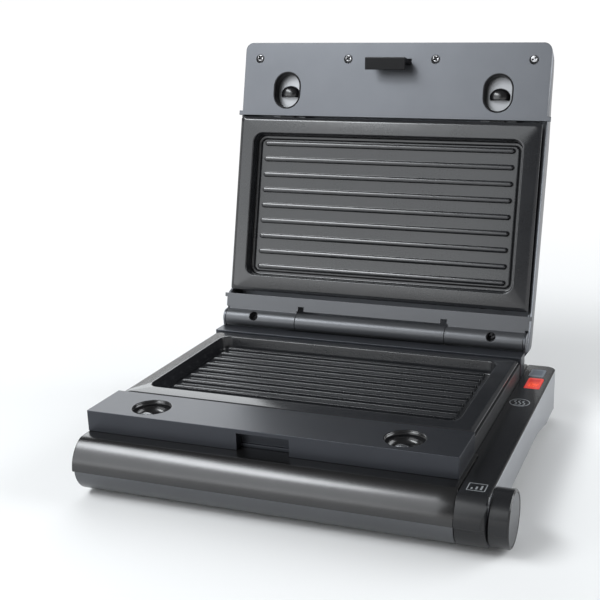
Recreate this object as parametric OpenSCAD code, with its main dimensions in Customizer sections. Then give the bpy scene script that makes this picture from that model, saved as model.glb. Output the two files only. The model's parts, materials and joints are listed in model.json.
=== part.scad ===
// Electric indoor grill with a floating hinged lid, two removable ribbed plates, a side arm and a knob.
// Frame: X to the right, Y to the back, Z up, table at Z = 0, origin under the middle of the lower plate.
// The lid is drawn open. Lid pieces use a frame of their own on the hinge axis: s runs from the hinge
// towards the lid's front edge and n points out of the cooking side.

/* [Overall] */
// Width across the lid, the front bar and the base
body_w = 280; // [240:1:340]
// Depth of the lower plate, front to back
plate_d = 160.8; // [140:0.2:200]
// Height of the front bar, the plate crest and the rear deck above the table
base_top = 60; // [56:0.5:75]
// How far the open lid leans back from upright, in degrees
lid_lean = 14.8; // [5:0.1:25]
// Thickness of the moulded walls
wall = 2.5; // [1.6:0.1:3.2]
// Gap left between pieces that are assembled side by side
fit = 0.3; // [0.2:0.05:0.5]

/* [Plates] */
// How far the plates stop short of the body's side faces
plate_side = 2.2; // [1.5:0.1:6]
// Width of the sloping flange round each plate
flange_w = 12.8; // [8:0.2:18]
// Height that the flange rises from its outer edge to the crest
flange_rise = 2.5; // [1:0.1:4]
// Depth of the pan below the crest
pan_depth = 10; // [7:0.5:12]
// Thickness of the cast plates
plate_t = 2.4; // [1.8:0.1:3.5]
// Number of ribs on a plate
rib_count = 9; // [6:1:11]
// Distance from rib to rib
rib_pitch = 14; // [10:0.5:14]
// Width of a rib
rib_w = 3.6; // [2:0.1:5]
// Height of a rib above the pan floor
rib_h = 3; // [1.5:0.1:4]
// Width of the drain channel round the ribbed field
channel_w = 5; // [3:0.5:7]

/* [Front bar and roll] */
// Depth of the front bar
bar_d = 43.7; // [40:0.1:60]
// Height of the front bar
bar_h = 15.9; // [14:0.1:20]
// Gap between the table and the underside of the roll
underside = 1.7; // [1:0.1:3]
// Lip where the upper roll shell stands out past the lower one
roll_lip = 2.4; // [1:0.1:3]
// Distance from the middle of the body to each release dish and finger well
release_x = 97; // [80:0.5:105]
// Diameter of the release dishes in the front bar
dish_d = 28; // [22:0.5:32]
// Width of the latch notch in the front bar
notch_w = 39.4; // [38:0.2:60]
// Depth of the latch notch
notch_d = 9; // [8.8:0.1:14]
// Thickness of the rim over the latch notch
notch_rim = 3.3; // [2:0.1:4]
// Travel of the plate releases
release_travel = 3; // [2:0.1:3.2]

/* [Hinge] */
// Outer radius of the hinge barrel
barrel_r = 8.3; // [7:0.1:9]
// Width of the barrel's middle part, which rides up and down
carriage_w = 138; // [110:1:150]
// Radius of the hinge pin
pin_r = 2.5; // [2:0.1:3]
// How far the hinge floats up
float_travel = 10; // [5:1:15]

/* [Lid] */
// How far the front strip lies below the hinge axis plane
strip_drop = 6.5; // [5:0.1:9]
// Thickness of the lid behind the hinge axis plane
lid_back = 35.7; // [34:0.1:42]
// Radius of the lid's outer front corners
corner_r = 7; // [4:0.5:12]
// Width of the latch hook
hook_w = 36; // [20:0.5:37]
// Width of the finger wells
well_w = 26; // [20:0.5:30]
// Length of the finger wells
well_l = 33; // [26:0.5:34]

/* [Arm and knob] */
// Width of the side arm
arm_w = 24.2; // [20:0.1:32]
// Radius of the knob
knob_r = 19.7; // [15:0.1:20]
// Length of the knob
knob_l = 13.4; // [9:0.1:20]
// Width of the indicator lenses
lens_w = 12.6; // [8:0.1:15]
// Length of the red lens
red_l = 24.3; // [12:0.1:28]
// Length of the grey lens
grey_l = 17.8; // [10:0.1:20]

/* [Feet] */
// Diameter of the rubber feet
foot_d = 14; // [10:0.5:16]

/* [Hidden] */
$fn = 64;

side_x = body_w / 2;
casing_x = side_x - 1;
plate_w = body_w - 2 * plate_side;
upper_plate_d = plate_d - 3;
bar_back = -plate_d / 2 - 1.05;
bar_front = bar_back - bar_d;
bar_bottom = base_top - bar_h;
casing_top = bar_bottom - 1.6;
casing_floor = 5;
guide_x = 46;
guide_drop = 18.5;
tongue_low = casing_top - guide_drop - float_travel;
hinge_y = plate_d / 2 + 25.1;
hinge_z = base_top + 5.4;
base_back = hinge_y + 12;
cord_x = side_x - 60;
cord_z = 22;
cord_r = 3.6;
deck_front = plate_d / 2 + 0.6;
deck_back = hinge_y - barrel_r - 0.6;
lid_len = hinge_y - bar_front + 20.45;
upper_plate_s = hinge_y - 1;
strip_s = upper_plate_s + upper_plate_d / 2 + 2.4;

// Heights below a plate's crest that both halves of the grill share
crest_n = 1.5;
flange_under = flange_rise + 2;
rim_under = base_top - casing_top;
tray_under = rim_under + 6.5;
tray_t = 0.8;
tray_x = side_x - 14;
tray_y = plate_d / 2 - 6.9;
rod_r = 3.2;
rod_under = pan_depth + plate_t + 1.5 + fit + rod_r;
rod_turn = 17;
fuse_r = 2.6;
rod_half = tray_x - 31;
lug_back = 5.9;
lug_t = 3;
lug_under = rim_under - 2;
slot_under = lug_under - 4.2;
slot_h = 2.8;
tongue_t = 2.2;
tongue_x = 6.5;

roll_low_r = (bar_bottom - underside - 0.8) / 2;
roll_z = underside + roll_low_r;
roll_r = roll_low_r + roll_lip;
roll_y = bar_front - 2.15;
blend_r = (bar_bottom - roll_z - roll_r * sin(60)) / (1 - sin(60));
blend_y = roll_y - (roll_r - blend_r) * cos(60);
blend_z = bar_bottom - blend_r;
seam_x = side_x + 1.7;
arm_in = casing_x + fit;
arm_out = arm_in + arm_w;
arm_back = hinge_y + 11.1;
arm_low = 15.5;
arm_heel = 7.2;
shaft_r = 3;
cap_edge = 2;
cap_seat = 1.2;

// Opening from the casing into the roll, through which the thermostat is wired
bay_x = side_x - 60;
bay_w = 24;
bay_h = 14;

dish_r = dish_d / 2;
dish_y = bar_front + 19.65;
thumb_y = dish_y - 8;
thumb_w = 5;
catch_z = base_top - slot_under + (slot_h - tongue_t) / 2 - slot_h;
well_s = strip_s + 22.8;
well_skirt = 9;
hook_s = hinge_y - bar_front + 2.95;
hook_tip = 12.5;
hook_t = 2.7;
lip_t = 3.3;
lip_l = 7.8;
pivot_n = -11.6;
pivot_r = 3.4;
screw_x = [-side_x + 14.5, -40.1, 40.1, side_x - 14.5];
screw_s = lid_len - 14.5;
hinge_screw_x = side_x - 30.3;
hinge_screw_s = 2.7;
screw_r = 3.5;
thread_r = 1.45;
clear_r = 1.9;
panel_t = 2.5;
seat_y = strip_drop + panel_t + fit;

grip_dark = "#2b2d30";
metal_grey = "#8b8f96";
shell_grey = "#a6a9ad";
steel = "#b9bcc0";

// 2D rectangle with rounded corners, by its edges
module round_rect(x0, x1, y0, y1, r) {
    translate([x0 + r, y0]) square([x1 - x0 - 2 * r, y1 - y0]);
    translate([x0, y0 + r]) square([x1 - x0, y1 - y0 - 2 * r]);
    for (x = [x0 + r, x1 - r], y = [y0 + r, y1 - r]) translate([x, y]) circle(r = r);
}

// Upright block with rounded vertical edges
module block(x0, x1, y0, y1, z0, z1, r = 0) {
    translate([0, 0, z0]) linear_extrude(z1 - z0)
        if (r > 0) round_rect(x0, x1, y0, y1, r);
        else translate([x0, y0]) square([x1 - x0, y1 - y0]);
}

// Runs a 2D outline drawn in Y and Z along X
module across(x0, x1) translate([x0, 0, 0]) rotate([90, 0, 90]) linear_extrude(x1 - x0) children();

// Bar with its axis along X
module rod_x(x0, x1, y, z, r) across(x0, x1) translate([y, z]) circle(r = r);

// The lid's own frame: X, -n and s
module on_lid() translate([0, hinge_y, hinge_z]) rotate([-lid_lean, 0, 0]) children();

// Runs a 2D outline drawn in X and s along n, in the lid's frame
module slab(n0, n1) translate([0, -n0, 0]) rotate([90, 0, 0]) linear_extrude(n1 - n0) children();

// Box in the lid's frame
module lid_box(x0, x1, n0, n1, s0, s1) slab(n0, n1) translate([x0, s0]) square([x1 - x0, s1 - s0]);

// Pin along n in the lid's frame
module lid_pin(x, s, n0, n1, r) slab(n0, n1) translate([x, s]) circle(r = r);

// Puts a plate-side piece, drawn below its crest at Z = 0, into the base or the lid
module in_base() translate([0, 0, base_top]) children();
module in_lid() on_lid() translate([0, -crest_n, upper_plate_s]) rotate([90, 0, 0]) children();

// ---------------------------------------------------------------- base

module casing_posts(r, z0, z1)
    for (x = [-side_x + 18, side_x - 18], y = [bar_back + 12, base_back - 14])
        translate([x, y, z0]) cylinder(r = r, h = z1 - z0, $fn = 32);

module guide_slots(side, gap, z0, z1)
    block(side * guide_x - 12 - gap, side * guide_x + 12 + gap, hinge_y - 3 - gap, hinge_y + 3 + gap, z0, z1);

module base_casing() color(grip_dark) {
    difference() {
        union() {
            difference() {
                block(-casing_x, casing_x, bar_back, base_back, casing_floor, casing_top, 3);
                block(-casing_x + wall, casing_x - wall, bar_back + wall, base_back - wall, casing_floor - 1,
                    casing_top - wall);
            }
            block(-casing_x, casing_x, bar_back + 0.55, deck_front - fit, casing_top,
                base_top - flange_under - fit, 3);
            casing_posts(4.2, casing_floor + wall + fit, casing_top - wall / 2);
        }
        block(-tray_x - 6, tray_x + 6, -tray_y - 0.5, tray_y + 0.5, casing_floor + wall, casing_top + 1, 4);
        block(-casing_x + 3, casing_x - 3, bar_back + 3.45, deck_front - fit - 3, casing_top, base_top, 3);
        casing_posts(1.9, casing_floor, casing_floor + 18);
        for (side = [-1, 1]) {
            guide_slots(side, 0.5, casing_top - wall - 1, casing_top + 1);
            block(side * release_x - tongue_x - 1.1, side * release_x + tongue_x + 1.1, bar_back,
                bar_back + 4, catch_z - 0.4, catch_z + tongue_t + 0.4);
        }
        translate([cord_x, base_back - wall - 1, cord_z]) rotate([-90, 0, 0]) cylinder(r = 8.2, h = wall + 2);
        translate([casing_x - 5, -40, 20]) cube([8, 16, 12]);
        translate([bay_x, bar_back - 1, bay_h]) cube([bay_w, wall + 2, bay_h]);
    }
}

module bottom_cover() color(grip_dark) difference() {
    block(-casing_x + wall + fit, casing_x - wall - fit, bar_back + wall + fit, base_back - wall - fit,
        casing_floor, casing_floor + wall, 2);
    casing_posts(2.1, casing_floor - 1, casing_floor + wall + 1);
    casing_posts(3.9, casing_floor - 1, casing_floor + 1.2);
    for (i = [-5:5], y = [-50, 20])
        block(i * 18 - 1.6, i * 18 + 1.6, y, y + 34, casing_floor - 1, casing_floor + wall + 1, 1.5);
}

module base_screws() color(steel) {
    casing_posts(3.5, casing_floor - 0.4, casing_floor + 1.2);
    casing_posts(1.7, casing_floor + 1.2, casing_floor + 15);
}

module foot(x, y, h) translate([x, y, 0]) {
    cylinder(r = foot_d / 2 - 0.6, h = h);
    translate([0, 0, 0.6]) cylinder(r = foot_d / 2, h = h - 0.6);
}

module front_feet() color("#1c1c1c") for (side = [-1, 1]) foot(side * (side_x - 40), roll_y + 6, underside);

module rear_feet() color("#1c1c1c") {
    foot(-side_x + 22, base_back - 37, casing_floor);
    foot(side_x + 11.5, base_back - 33, arm_heel);
}

// Outline of the upper roll: a round front that runs back flat under the bar
module roll_top(inset, back) {
    intersection() {
        translate([roll_y, roll_z]) circle(r = roll_r - inset, $fn = 128);
        translate([roll_y - roll_r, roll_z]) square([roll_r, (roll_r - inset) * sin(60)]);
    }
    intersection() {
        translate([blend_y, blend_z]) circle(r = blend_r - inset, $fn = 96);
        translate([roll_y - roll_r, roll_z]) square([2 * roll_r, bar_bottom - roll_z]);
    }
    translate([blend_y, roll_z]) square([back - blend_y, bar_bottom - inset - roll_z]);
}

// Outline of the lower roll, flat underneath behind the axis
module roll_bottom(inset, back) {
    intersection() {
        translate([roll_y, roll_z]) circle(r = roll_low_r - inset, $fn = 128);
        translate([roll_y - roll_r, 0]) square([roll_r, roll_z]);
    }
    translate([roll_y, underside + inset]) square([back - roll_y, roll_z - underside - inset]);
}

module roll_shell() color(metal_grey) difference() {
    across(-side_x + fit, seam_x) roll_top(0, bar_back - 0.1);
    across(-side_x + fit + wall, seam_x + 1) roll_top(wall, bar_back + 1);
}

module roll_lower_shell() color(grip_dark) difference() {
    across(-side_x + fit, seam_x) roll_bottom(0, bar_back - 0.1);
    across(-side_x + fit + wall, seam_x - wall) translate([0, 0.01]) roll_bottom(wall, bar_back - wall);
    translate([bay_x, bar_back - wall - 1, bay_h]) cube([bay_w, wall + 2, bay_h]);
    rod_x(seam_x - wall - 1, seam_x + 1, roll_y, roll_z, 7);
}

module dish_at(side, r, z0, z1) translate([side * release_x, dish_y, z0]) cylinder(r = r, h = z1 - z0);

module front_bar() color(metal_grey) difference() {
    block(-side_x + fit, side_x - fit, bar_front, bar_back, bar_bottom, base_top, 0.8);
    difference() {
        block(-side_x + fit + wall, side_x - fit - wall, bar_front + wall, bar_back - wall, bar_bottom - 1,
            base_top - wall);
        block(-notch_w / 2 - wall, notch_w / 2 + wall, bar_front, bar_front + notch_d + wall, bar_bottom,
            base_top);
        for (side = [-1, 1]) {
            dish_at(side, dish_r + 1.6, catch_z + tongue_t + 0.5, base_top);
            block(side * (release_x + 13) - 2.6, side * (release_x + 13) + 2.6, dish_y + 7, dish_y + 9.2,
                catch_z - 1.6, base_top);
        }
    }
    for (side = [-1, 1]) {
        dish_at(side, dish_r, catch_z + tongue_t + 2, base_top + 1);
        block(side * release_x - thumb_w - 0.4, side * release_x + thumb_w + 0.4,
            thumb_y - 2.4 - release_travel, thumb_y + 2.4,
            bar_bottom, catch_z + tongue_t + 3);
        block(side * release_x - tongue_x - 1.1, side * release_x + tongue_x + 1.1, bar_back - wall - 1,
            bar_back + 1, catch_z - 0.4, catch_z + tongue_t + 0.4);
    }
    block(-notch_w / 2, notch_w / 2, bar_front - 1, bar_front + notch_d, bar_bottom + 2.7,
        base_top - notch_rim);
    block(-notch_w / 2, notch_w / 2, bar_front - 1, bar_front + notch_d - 2, bar_bottom - 1,
        bar_bottom + 3);
}

module rear_deck() color(metal_grey) difference() {
    block(-side_x + 0.5, side_x - 0.5, deck_front, deck_back, casing_top, base_top, 1);
    block(-side_x + 0.5 + wall, side_x - 0.5 - wall, deck_front + wall, deck_back - wall, casing_top - 1,
        base_top - wall);
}

module float_guides() color("#55585c") for (side = [-1, 1]) difference() {
    block(side * guide_x - 15, side * guide_x + 15, hinge_y - 6, hinge_y + 6, tongue_low - 2,
        casing_top - wall - 0.1, 1);
    guide_slots(side, fit, tongue_low - 3, casing_top);
}

// Shallow sheet tray under a plate, with its rim and the ribs that carry the heating rod
module tray() {
    difference() {
        union() {
            block(-tray_x, tray_x, -tray_y + 0.6, tray_y - 0.6, -tray_under, -rim_under + tray_t, 5);
            block(-tray_x - 8.5, tray_x + 8.5, -tray_y - 3, tray_y + 3, -rim_under, -rim_under + tray_t, 4);
        }
        block(-tray_x + tray_t, tray_x - tray_t, -tray_y + 0.6 + tray_t, tray_y - 0.6 - tray_t,
            -tray_under + tray_t, -rim_under + 1, 4.2);
        for (side = [-1, 1]) block(tray_x - 4, tray_x + 12, side * 3 * rod_turn - rod_r - 0.6,
            side * 3 * rod_turn + rod_r + 0.6, -rod_under - rod_r - 0.5, 0);
    }
    for (side = [-1, 1]) block(side * 55 - 3, side * 55 + 3, -4 * rod_turn, 4 * rod_turn,
        -tray_under + tray_t / 2, -rod_under - rod_r - fit);
}

// Sheathed heating rod: four runs joined by three half turns, both ends out to the right
module heating_rod() translate([0, 0, -rod_under]) {
    for (y = [-3, 3]) rod_x(-rod_half, tray_x + 5.5, y * rod_turn, 0, rod_r);
    for (y = [-1, 1]) rod_x(-rod_half, rod_half, y * rod_turn, 0, rod_r);
    for (y = [-2, 2]) translate([-rod_half, y * rod_turn, 0]) rotate([0, 0, 90])
        rotate_extrude(angle = 180) translate([rod_turn, 0]) circle(r = rod_r, $fn = 32);
    translate([rod_half, 0, 0]) rotate([0, 0, -90])
        rotate_extrude(angle = 180) translate([rod_turn, 0]) circle(r = rod_r, $fn = 32);
}

module thermal_fuse() rod_x(-14, 14, 0, -tray_under + tray_t + fuse_r + 0.1, fuse_r);

module lower_reflector() color(steel) in_base() tray();
module lower_heating_element() color("#6b5f57") in_base() heating_rod();
module lower_thermal_fuse() color("#d9d2c4") in_base() thermal_fuse();

module terminal_block() color("#e8e4da") difference() {
    block(cord_x - 16, cord_x + 16, base_back - 34, base_back - 20, casing_floor + wall,
        casing_floor + wall + 12, 1);
    for (x = [cord_x - 10, cord_x, cord_x + 10])
        translate([x, base_back - 27, casing_floor + wall + 4]) cylinder(r = 2.2, h = 12, $fn = 24);
}

module cord_gland() color("#1c1c1c") translate([cord_x, 0, cord_z]) rotate([-90, 0, 0]) difference() {
    union() {
        translate([0, 0, base_back - wall - 3]) cylinder(r = 9.5, h = 2.7);
        translate([0, 0, base_back - wall - 1]) cylinder(r = 7.9, h = wall + 1.4);
        translate([0, 0, base_back + 0.3]) cylinder(r = 9.5, h = 4);
    }
    translate([0, 0, base_back - wall - 4]) cylinder(r = cord_r, h = 14);
}

// Side outline of the arm, in Y and Z
module arm_outline(inset) {
    back = arm_back - inset;
    top = casing_top - inset;
    intersection() {
        union() {
            roll_top(inset, back);
            roll_bottom(inset, roll_y + 26);
        }
        translate([roll_y - roll_r, 0]) square([roll_r + back - roll_y, top]);
    }
    polygon([[roll_y + 20, underside + inset], [roll_y + 26, underside + inset],
        [roll_y + 62, arm_low + inset], [hinge_y - 76, arm_low + inset], [hinge_y - 33, arm_heel + inset],
        [back - 6, arm_heel + inset], [back - 6, top], [roll_y + 20, top]]);
    translate([back - 12, arm_heel + inset + 6]) square([12, top - arm_heel - inset - 12]);
    translate([back - 6, arm_heel + inset + 6]) circle(r = 6);
    translate([back - 6, top - 6]) circle(r = 6);
}

module lens_block(x, y, l, gap, z0, z1) block(x - gap, x + lens_w + gap, y - gap, y + l + gap, z0, z1, 1.5);

red_x = arm_out - 5 - lens_w;
grey_x = red_x - 1.6;
grey_y = arm_back - 10.7 - grey_l;
lamp_z = casing_top - wall - 10;
lamp_r = 2.6;
red_y = grey_y - 4.2 - red_l;

module arm_cover() color(shell_grey) difference() {
    intersection() {
        across(arm_in, arm_out) arm_outline(0);
        block(arm_in - 20, arm_out, roll_y - roll_r - 1, arm_back, 0, base_top, 9);
    }
    across(arm_in - 1, arm_out - wall) arm_outline(wall);
    block(arm_in - 1, seam_x + fit, roll_y - roll_r - 1, bar_back + fit, 0, base_top);
    block(arm_in - 1, arm_out - wall, roll_y + 30, arm_back - 12, 0, arm_low + wall + 0.4);
    rod_x(arm_out - wall - 1, arm_out + 1, roll_y, roll_z, shaft_r + 1);
    lens_block(red_x, red_y, red_l, 0.2, casing_top - wall - 1, casing_top + 1);
    lens_block(grey_x, grey_y, grey_l, 0.2, casing_top - wall - 1, casing_top + 1);
}

module arm_lower_cover() color(grip_dark) difference() {
    intersection() {
        across(arm_in + fit, arm_out - wall - fit) arm_outline(0);
        block(arm_in + fit, arm_out - wall - fit, roll_y + 30 + fit, arm_back - 12 - fit, 0, arm_low + wall);
    }
    across(arm_in - 1, arm_out) arm_outline(wall);
    block(arm_in - 1, seam_x + fit, roll_y - roll_r - 1, bar_back + fit, 0, base_top);
}

module arm_wires() color("#b0442c") for (i = [0:2])
    translate([arm_in + 6 + 4 * i, hinge_y - 60, arm_low + wall + 1.7]) rotate([90, 0, 0])
        cylinder(r = 1.5, h = hinge_y - bar_back - 75, $fn = 24);

module lamp_holder() color("#e8e4da") difference() {
    block(arm_in + 2, arm_out - wall - fit, red_y + 2, grey_y + grey_l - 2, casing_top - wall - 12,
        casing_top - wall - 0.2, 1);
    for (y = [red_y + red_l / 2, grey_y + grey_l / 2])
        translate([red_x + lens_w / 2, y, lamp_z]) cylinder(r = 4.5, h = 12);
}

module indicator_lamps() color("#ff9a70") for (y = [red_y + red_l / 2, grey_y + grey_l / 2])
    translate([red_x + lens_w / 2, y, lamp_z]) {
        cylinder(r = lamp_r, h = 5, $fn = 32);
        translate([0, 0, 5]) sphere(r = lamp_r, $fn = 32);
    }

module lens(x, y, l) lens_block(x, y, l, 0, casing_top - wall, casing_top + 0.3);
module red_lens() color("#b4212b") lens(red_x, red_y, red_l);
module grey_lens() color("#7f8b96") lens(grey_x, grey_y, grey_l);

module thermostat() color("#d9d2c4") difference() {
    union() {
        block(seam_x - 26, seam_x - 6, roll_y - 7, roll_y + 15, underside + wall + 1.6, roll_z + 10);
        rod_x(seam_x - 6, seam_x + 2, roll_y, roll_z, 5);
    }
    rod_x(seam_x - 12, seam_x + 3, roll_y, roll_z, shaft_r + 0.06);
}

// ---------------------------------------------------------------- knob

module thermostat_shaft() color(steel) rod_x(seam_x - 11, arm_out + knob_l - 4, roll_y, roll_z, shaft_r);

module knob() color(metal_grey) difference() {
    rod_x(arm_out + fit, arm_out + fit + knob_l, roll_y, roll_z, knob_r);
    difference() {
        rod_x(arm_out, arm_out + knob_l - 3.5, roll_y, roll_z, knob_r - 2.2);
        rod_x(arm_out, arm_out + knob_l, roll_y, roll_z, 5.5);
    }
    rod_x(arm_out, arm_out + knob_l - 3.9, roll_y, roll_z, shaft_r + 0.06);
    rod_x(arm_out + fit + knob_l - cap_seat, arm_out + fit + knob_l + 1, roll_y, roll_z, knob_r - cap_edge);
}

module knob_cap() color(shell_grey) rod_x(arm_out + fit + knob_l - cap_seat,
    arm_out + fit + knob_l - 0.2, roll_y, roll_z, knob_r - cap_edge - 0.2);

// ---------------------------------------------------------------- plates and their releases

function plate_section(w) = [[-w / 2, -pan_depth - plate_t - 1.5], [-w / 2, -flange_rise],
    [-w / 2 + flange_w, 0], [w / 2 - flange_w, 0], [w / 2, -flange_rise],
    [w / 2, -pan_depth - plate_t - 1.5]];

// A cast plate with its crest at Z = 0; front is 1 where its latch lugs face +Y and -1 where they face -Y
module grill_plate(d, front) {
    pan_x = plate_w / 2 - flange_w - 1.5;
    pan_y = d / 2 - flange_w - 1.5;
    difference() {
        intersection() {
            rotate([90, 0, 0]) linear_extrude(2 * d, center = true) polygon(plate_section(plate_w));
            across(-plate_w, plate_w) polygon(plate_section(d));
            block(-plate_w / 2, plate_w / 2, -d / 2, d / 2, -30, 1, 5);
        }
        block(-pan_x, pan_x, -pan_y, pan_y, -pan_depth, 1, 9);
        difference() {
            block(-pan_x, pan_x, -pan_y, pan_y, -pan_depth - 1.5, -pan_depth + 1, 9);
            block(-pan_x + channel_w, pan_x - channel_w, -pan_y + channel_w, pan_y - channel_w,
                -pan_depth - 2, -pan_depth + 1, 6);
        }
        difference() {
            block(-plate_w, plate_w, -d, d, -30, -flange_under);
            block(-pan_x - plate_t, pan_x + plate_t, -pan_y - plate_t, pan_y + plate_t, -31, 0, 11);
        }
        block(-pan_x + channel_w + 3, pan_x - channel_w - 3, -pan_y + channel_w + 3, pan_y - channel_w - 3,
            -30, -pan_depth - plate_t, 4);
    }
    for (i = [0:rib_count - 1]) rib((i - (rib_count - 1) / 2) * rib_pitch, pan_x - channel_w - 3.6);
    for (side = [-1, 1]) {
        lug_y = front * (d / 2 - lug_back + lug_t / 2);
        difference() {
            block(side * release_x - tongue_x - 2.5, side * release_x + tongue_x + 2.5, lug_y - lug_t / 2,
                lug_y + lug_t / 2, -lug_under, -flange_under + 1);
            block(side * release_x - tongue_x - 0.5, side * release_x + tongue_x + 0.5, lug_y - lug_t,
                lug_y + lug_t, -slot_under - slot_h, -slot_under);
        }
    }
}

module rib(y, half) {
    block(-half, half, y - rib_w / 2, y + rib_w / 2, -pan_depth - 0.5, -pan_depth + rib_h - rib_w / 2,
        rib_w / 2 - 0.01);
    rod_x(-half + rib_w / 2, half - rib_w / 2, y, -pan_depth + rib_h - rib_w / 2, rib_w / 2);
    for (x = [-half + rib_w / 2, half - rib_w / 2]) translate([x, y, -pan_depth + rib_h - rib_w / 2])
        sphere(r = rib_w / 2, $fn = 32);
}

module lower_grill_plate() color("#26282b") in_base() grill_plate(plate_d, -1);
module upper_grill_plate() color("#3a3d42") in_lid() grill_plate(upper_plate_d, 1);

// Sliding catch under the front bar, with the thumb piece that stands in its dish
module lower_release(side) color("#3b3d42") {
    block(side * release_x - tongue_x, side * release_x + tongue_x, thumb_y - 2, -plate_d / 2 + lug_back - 1,
        catch_z, catch_z + tongue_t);
    block(side * (release_x + 10) - 6, side * (release_x + 10) + 6, bar_back - 7.3, bar_back - 5.3,
        catch_z, catch_z + tongue_t);
    intersection() {
        translate([side * release_x, thumb_y + 2, catch_z + tongue_t]) rotate([90, 0, 0])
            cylinder(r = base_top - 1.5 - catch_z - tongue_t, h = 4, $fn = 48);
        block(side * release_x - thumb_w, side * release_x + thumb_w, thumb_y - 2, thumb_y + 2,
            catch_z + tongue_t - 0.5, base_top);
    }
}

module lower_release_left() lower_release(-1);
module lower_release_right() lower_release(1);

module release_spring(x, y0, y1, z) color(steel) translate([x, y1, z]) rotate([90, 0, 0])
    cylinder(r = 1.9, h = y1 - y0, $fn = 32);

module lower_spring(side) release_spring(side * (release_x + 13), dish_y + 9.2 + release_travel + 0.3,
    bar_back - 7.3, catch_z + tongue_t / 2);
module lower_spring_left() lower_spring(-1);
module lower_spring_right() lower_spring(1);

// ---------------------------------------------------------------- hinge

module hinge_carriage() color("#4a4d52") difference() {
    union() {
        rod_x(-carriage_w / 2, carriage_w / 2, hinge_y, hinge_z, barrel_r);
        block(-carriage_w / 2 + 8, carriage_w / 2 - 8, hinge_y - 4, hinge_y + 4, casing_top + fit,
            hinge_z - 3);
        for (side = [-1, 1]) guide_slots(side, 0, tongue_low, casing_top + 1);
    }
    rod_x(-carriage_w, carriage_w, hinge_y, hinge_z, pin_r + 0.04);
}

module hinge_pin() color(steel) rod_x(-side_x + 40, side_x - 40, hinge_y, hinge_z, pin_r);

// ---------------------------------------------------------------- lid

// Back of the lid cover's side outline, in -n and s, moved inwards by w
function lid_back_points(w) = [
    [seat_y - w, lid_len - 0.1 - w * 0.9], [22 - w * 0.7, lid_len - 4.7 - w],
    [27 - w, lid_len - 8.7 - w * 0.7], [lid_back - 5.7 - w, lid_len - 22],
    [lid_back - 5.7 - w, lid_len - 43.6], [lid_back - w, lid_len - 81],
    [lid_back - 4.8 - w, 44.7], [lid_back - 6.9 - w, 18.7], [lid_back - 7.5 - w, 1.4],
    [25.4 - w, -8.9 + w * 0.5], [16.5, -11.5 + w]];

// Depth of the cover's outside behind the hinge axis plane, at a place along s
function back_at(s) = lookup(s, [for (p = lid_back_points(0)) [p[1], p[0]]]);

// Boss that stands on the inside of the cover's back, up to n
module lid_boss(x, s, n, r) lid_pin(x, s, wall / 2 - back_at(s), n, r);

module lid_side() polygon(concat(lid_back_points(0), [[-1.7, -14.2], [-6, -5], [-crest_n + panel_t + fit, 5],
    [-crest_n + panel_t + fit, 22.6], [strip_drop, 26], [strip_drop, strip_s - fit],
    [seat_y, strip_s - fit]]));

module lid_cover() color(shell_grey) on_lid() {
    difference() {
        union() {
            difference() {
                intersection() {
                    across(-side_x - 1, side_x + 1) lid_side();
                    slab(-lid_back - 10, 20) round_rect(-side_x, side_x, -40, lid_len, corner_r);
                }
                across(-side_x + wall, side_x - wall)
                    polygon(concat(lid_back_points(wall), [[-40, -14.2 + wall], [-40, lid_len - wall]]));
            }
            for (x = [-side_x, side_x - wall]) rod_x(x, x + wall, 0, 0, barrel_r);
            for (x = screw_x) lid_boss(x, screw_s, -strip_drop - panel_t, 4);
            for (side = [-1, 1]) {
                lid_boss(side * hinge_screw_x, hinge_screw_s, -barrel_r - fit, 4);
                for (s = [-64, 64])
                    lid_boss(side * (side_x - 8.6), upper_plate_s + s, crest_n - rim_under, 3.2);
                lid_box(side * (side_x - 4) - 1.6, side * (side_x - 4) + 1.6, -12,
                    crest_n - flange_under - fit, upper_plate_s - 60, upper_plate_s + 60);
            }
            lid_box(-4, 4, wall / 2 - back_at(hook_s - 12), -13, hook_s - 14, hook_s - 11.8);
        }
        for (x = screw_x) lid_pin(x, screw_s, -25, 0, 1.6);
        for (side = [-1, 1]) lid_pin(side * hinge_screw_x, hinge_screw_s, -22, 0, 1.6);
        lid_box(-carriage_w / 2 - 1.3, carriage_w / 2 + 1.3, -14, 20, -20, 9.4);
    }
}

module well_outline(side, grow) {
    w = well_w / 2 + grow;
    l = well_l / 2 + grow;
    translate([side * release_x, well_s]) {
        translate([0, l - w]) circle(r = w);
        translate([0, w - l]) circle(r = w);
        translate([-w, w - l]) square([2 * w, 2 * (l - w)]);
    }
}

module lid_front_panel() color(shell_grey) on_lid() difference() {
    union() {
        slab(-strip_drop - panel_t, -strip_drop) difference() {
            round_rect(-side_x, side_x, strip_s - 20, lid_len, corner_r);
            translate([-side_x - 1, strip_s - 30]) square([body_w + 2, 30]);
        }
        for (side = [-1, 1]) {
            slab(-strip_drop - well_skirt, -strip_drop) well_outline(side, 1.6);
            lid_box(side * (side_x + 1.2) - 2, side * (side_x + 1.2) + 2, -strip_drop - panel_t, -strip_drop,
                strip_s, strip_s + 4);
            lid_box(side * (hook_w / 2 + 4) - 2, side * (hook_w / 2 + 4) + 2, pivot_n - 4.5, -strip_drop - 1,
                hook_s - 5, hook_s + 5);
        }
    }
    for (side = [-1, 1]) slab(-30, 0) well_outline(side, 0);
    for (x = screw_x) {
        lid_pin(x, screw_s, -20, 0, clear_r);
        lid_pin(x, screw_s, -strip_drop - 1.7, 0, screw_r + 0.3);
    }
    lid_box(-hook_w / 2 - 0.5, hook_w / 2 + 0.5, -20, 0, hook_s - hook_t / 2 - 0.4, hook_s + 3.4);
    lid_box(-hook_w / 2 - 0.5, hook_w / 2 + 0.5, -20, pivot_n + pivot_r + fit, hook_s - pivot_r - fit,
        hook_s + pivot_r + fit);
    rod_x(-hook_w, hook_w, -pivot_n, hook_s, 1.54);
}

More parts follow.
